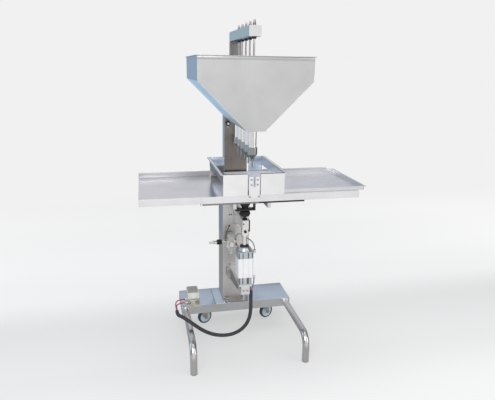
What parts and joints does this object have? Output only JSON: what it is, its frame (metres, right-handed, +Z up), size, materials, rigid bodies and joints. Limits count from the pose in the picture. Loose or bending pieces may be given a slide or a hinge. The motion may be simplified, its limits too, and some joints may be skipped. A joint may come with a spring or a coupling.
{
  "type": "donut filling machine",
  "caption": "Floor-standing pastry filling machine: wedge hopper over a nozzle row, air-driven dosing mast, guarded sliding tray table, column on a base with legs and casters.",
  "frame": {"origin": "on the floor, under the middle of the machine's bounding box without its free hoses", "axes": "+Z up along the column, +X along the table to the operator's right, +Y away from the operator"},
  "size_m": [1.009, 0.583, 1.568],
  "materials": {
    "stainless": "satin brushed stainless sheet and tube",
    "chromed": "ground and polished",
    "plated": "bright plated fittings",
    "black_steel": "black",
    "anodised": "light anodised profile",
    "cast_alloy": "die-cast, satin",
    "light_paint": "light grey",
    "black_plastic": "fine grained",
    "grey_plastic": "satin",
    "light_plastic": "satin",
    "white_plastic": "machined food-grade plastic",
    "clear_plastic": "clear bowl",
    "black_rubber": "smooth",
    "wheel_rubber": "dark blue-grey tread on a light disc",
    "black_fabric": "woven protective sleeve",
    "red_hose": "red tube",
    "dark_hose": "dark tube"
  },
  "bodies": {
    "stand": {"base_beam": "stainless", "leg_tubes": "stainless", "leg_end_plugs": "grey_plastic", "lower_column": "stainless", "column_back_cover": "stainless", "upper_column": "stainless", "mast_bushes": "white_plastic", "hopper_shell": "stainless", "hopper_brackets": "stainless", "clamp_knobs": "black_plastic", "nozzle_manifold": "white_plastic", "metering_tubes": "stainless", "filling_nozzles": "stainless", "table_deck": "stainless", "table_wing_left": "stainless", "table_wing_right": "stainless", "table_frame": "stainless", "guard_left": "stainless", "guard_right": "stainless", "slotted_plate": "stainless", "frame_bolts": "stainless", "stop_bracket": "black_steel", "cylinder_barrel": "anodised", "cylinder_head": "cast_alloy", "cylinder_cap": "cast_alloy", "cylinder_shelf": "stainless", "regulator_body": "light_plastic", "regulator_bowl": "clear_plastic", "pressure_gauge": "black_plastic", "foot_valve_block": "cast_alloy", "air_fittings": "plated", "pedal_base": "stainless", "caster_plates": "plated", "hose_sleeve": "black_fabric", "pedal_hose_upper": "red_hose", "pedal_hose_lower": "red_hose", "feed_hose": "red_hose", "cap_hose": "dark_hose", "head_hose": "dark_hose", "cylinder_hose": "red_hose", "supply_hose": "dark_hose"},
    "dosing_carriage": {"inner_mast": "stainless", "top_beam": "stainless", "drive_arm": "stainless", "plungers": "chromed", "plunger_nuts": "stainless", "rod_clevis": "plated", "clevis_pin": "black_steel", "piston_rod": "chromed", "stop_buffer": "black_rubber"},
    "dose_knob": {"dose_knob": "black_plastic"},
    "stop_screw": {"stop_screw": "plated"},
    "regulator_knob": {"regulator_knob": "light_plastic"},
    "shut_off_sleeve": {"shut_off_sleeve": "black_plastic"},
    "pedal_tread": {"pedal_tread": "light_paint"},
    "product_tray": {"product_tray": "stainless"},
    "caster_fork_left": {"caster_fork_left": "plated"},
    "caster_fork_right": {"caster_fork_right": "plated"},
    "caster_wheel_left": {"caster_wheel_left": "wheel_rubber"},
    "caster_wheel_right": {"caster_wheel_right": "wheel_rubber"}
  },
  "joints": [
    {"name": "dosing_slide", "type": "slide", "parent": "stand", "child": "dosing_carriage", "axis": [0, 0, 1], "range_m": [-0.045, 0]},
    {"name": "dose_knob_turn", "type": "hinge", "parent": "stand", "child": "dose_knob", "pos_m": [-0.0185, -0.0785, 0.7393], "axis": [0, 0, 1], "range_deg": [0, 1800]},
    {"name": "stop_screw_slide", "type": "slide", "parent": "stand", "child": "stop_screw", "axis": [0, 0, 1], "range_m": [0, 0.0087]},
    {"name": "regulator_turn", "type": "hinge", "parent": "stand", "child": "regulator_knob", "pos_m": [-0.0515, 0.1125, 0.5263], "axis": [0, 0, 1], "range_deg": [0, 1080]},
    {"name": "shut_off_slide", "type": "slide", "parent": "stand", "child": "shut_off_sleeve", "axis": [-1, 0, 0], "range_m": [0, 0.007]},
    {"name": "pedal_press", "type": "hinge", "parent": "stand", "child": "pedal_tread", "pos_m": [-0.2525, 0.1785, 0.206], "axis": [1, 0, 0], "range_deg": [0, 8], "stiffness_Nm_per_rad": 8, "springref_deg": -5.73},
    {"name": "tray_slide", "type": "slide", "parent": "stand", "child": "product_tray", "axis": [1, 0, 0], "range_m": [-0.4, 0.1]},
    {"name": "caster_swivel_left", "type": "hinge", "parent": "stand", "child": "caster_fork_left", "pos_m": [-0.1945, 0.1935, 0.1], "axis": [0, 0, 1], "continuous": true},
    {"name": "caster_roll_left", "type": "hinge", "parent": "caster_fork_left", "child": "caster_wheel_left", "pos_m": [-0.18152, 0.19874, 0.04], "axis": [-0.3746, 0.9272, 0], "continuous": true},
    {"name": "caster_swivel_right", "type": "hinge", "parent": "stand", "child": "caster_fork_right", "pos_m": [0.1575, 0.1935, 0.1], "axis": [0, 0, 1], "continuous": true},
    {"name": "caster_roll_right", "type": "hinge", "parent": "caster_fork_right", "child": "caster_wheel_right", "pos_m": [0.17048, 0.19874, 0.04], "axis": [-0.3746, 0.9272, 0], "continuous": true}
  ],
  "couplings": [
    {"joint": "dose_knob_turn", "follows": "stop_screw_slide", "rad_per_m": 3590.4}
  ]
}
